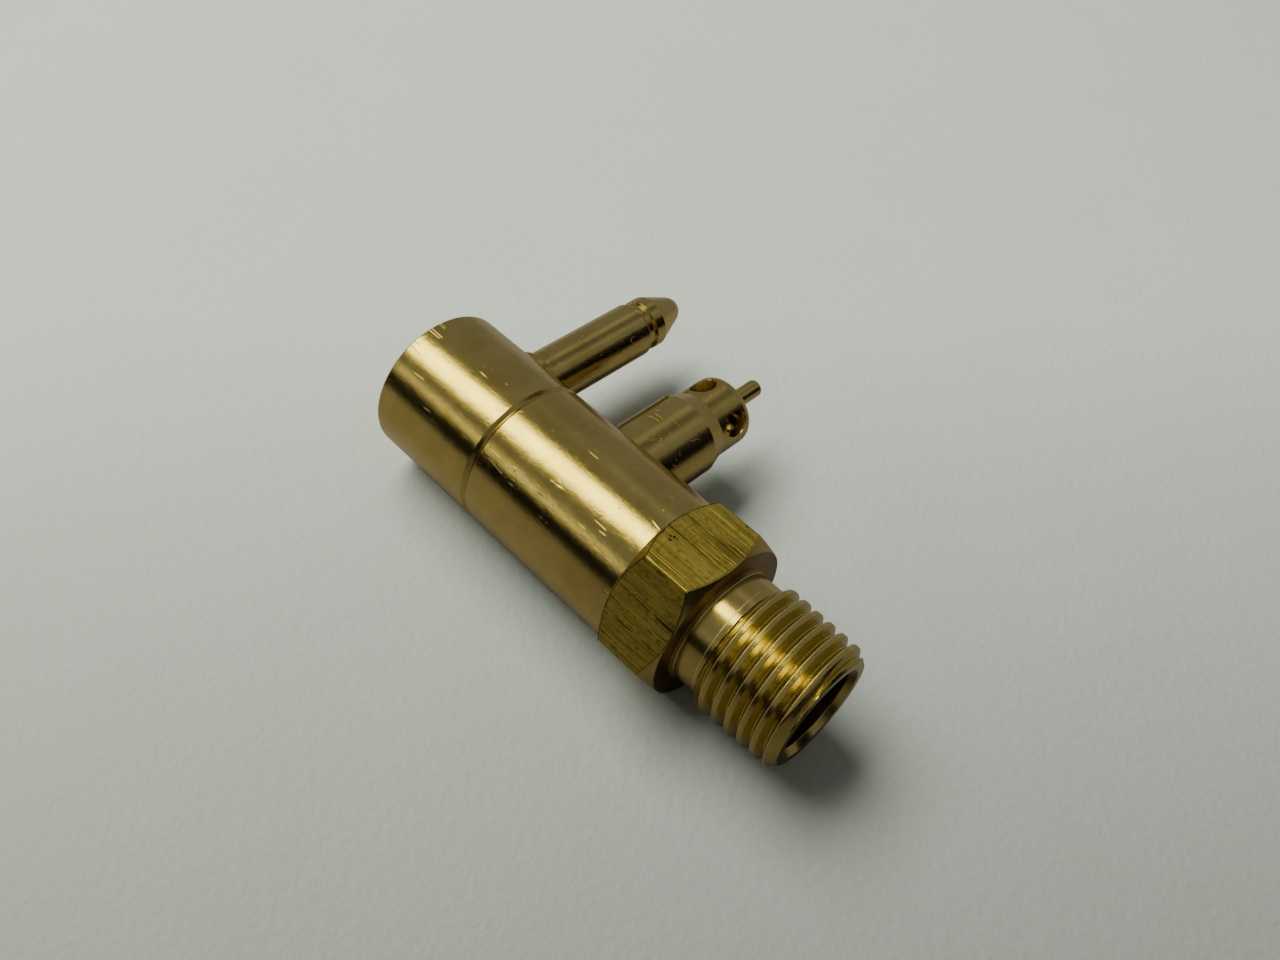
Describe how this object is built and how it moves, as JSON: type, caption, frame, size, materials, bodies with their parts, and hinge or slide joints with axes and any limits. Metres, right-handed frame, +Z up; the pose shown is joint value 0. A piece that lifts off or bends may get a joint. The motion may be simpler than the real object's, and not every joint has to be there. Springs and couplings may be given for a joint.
{
  "type": "outboard fuel tank connector",
  "caption": "Turned brass two-prong quick connector for an outboard fuel tank: locating pin, hollow valve stem with a sprung poppet, hexagon and tapered male pipe thread.",
  "frame": {"origin": "centre of the barrel's closed end face, on the body axis", "axes": "+X along the body axis from the closed end towards the thread, +Y along the two prongs towards their tips, +Z up, normal to a hexagon flat"},
  "size_m": [0.051, 0.0373, 0.0158],
  "materials": {
    "body_brass": "turned, satin",
    "pin_brass": "turned, satin",
    "stem_brass": "turned, satin",
    "poppet_brass": "drawn, satin",
    "seal_rubber": "matt nitrile",
    "spring_steel": "drawn stainless wire",
    "bush_brass": "as turned"
  },
  "bodies": {
    "connector": {"body": "body_brass", "locating_pin": "pin_brass", "valve_stem": "stem_brass", "spring_retainer": "bush_brass", "valve_spring": "spring_steel"},
    "plunger": {"poppet": "poppet_brass", "poppet_seal": "seal_rubber"}
  },
  "joints": [
    {"name": "poppet_press", "type": "slide", "parent": "connector", "child": "plunger", "axis": [0, -1, 0], "range_m": [0, 0.0025], "stiffness_N_per_m": 600, "springref_m": -0.0035, "deforming": ["valve_spring"]}
  ]
}
